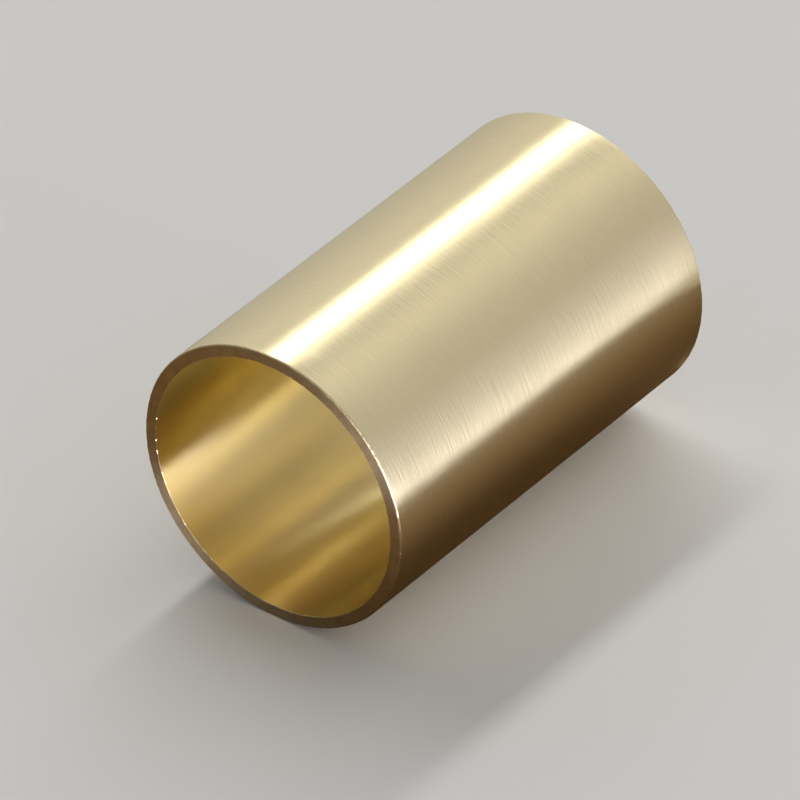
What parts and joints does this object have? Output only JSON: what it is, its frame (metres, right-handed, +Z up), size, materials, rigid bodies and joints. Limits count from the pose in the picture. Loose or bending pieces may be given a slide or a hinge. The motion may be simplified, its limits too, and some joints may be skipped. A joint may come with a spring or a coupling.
{
  "type": "guitar slide",
  "caption": "Straight thin-walled brass tube worn on a finger and slid along guitar strings, open at both ends, with broken edges and a brushed barrel.",
  "frame": {"origin": "on the bore axis, halfway along the tube", "axes": "+Y along the bore axis, so the slide lies on its side; +Z up; the two ends are alike"},
  "size_m": [0.024, 0.038, 0.024],
  "materials": {
    "brass": "pale brass, finely brushed round the barrel, smoother drawn bore"
  },
  "bodies": {
    "root": {"slide_tube": "brass"}
  },
  "joints": []
}
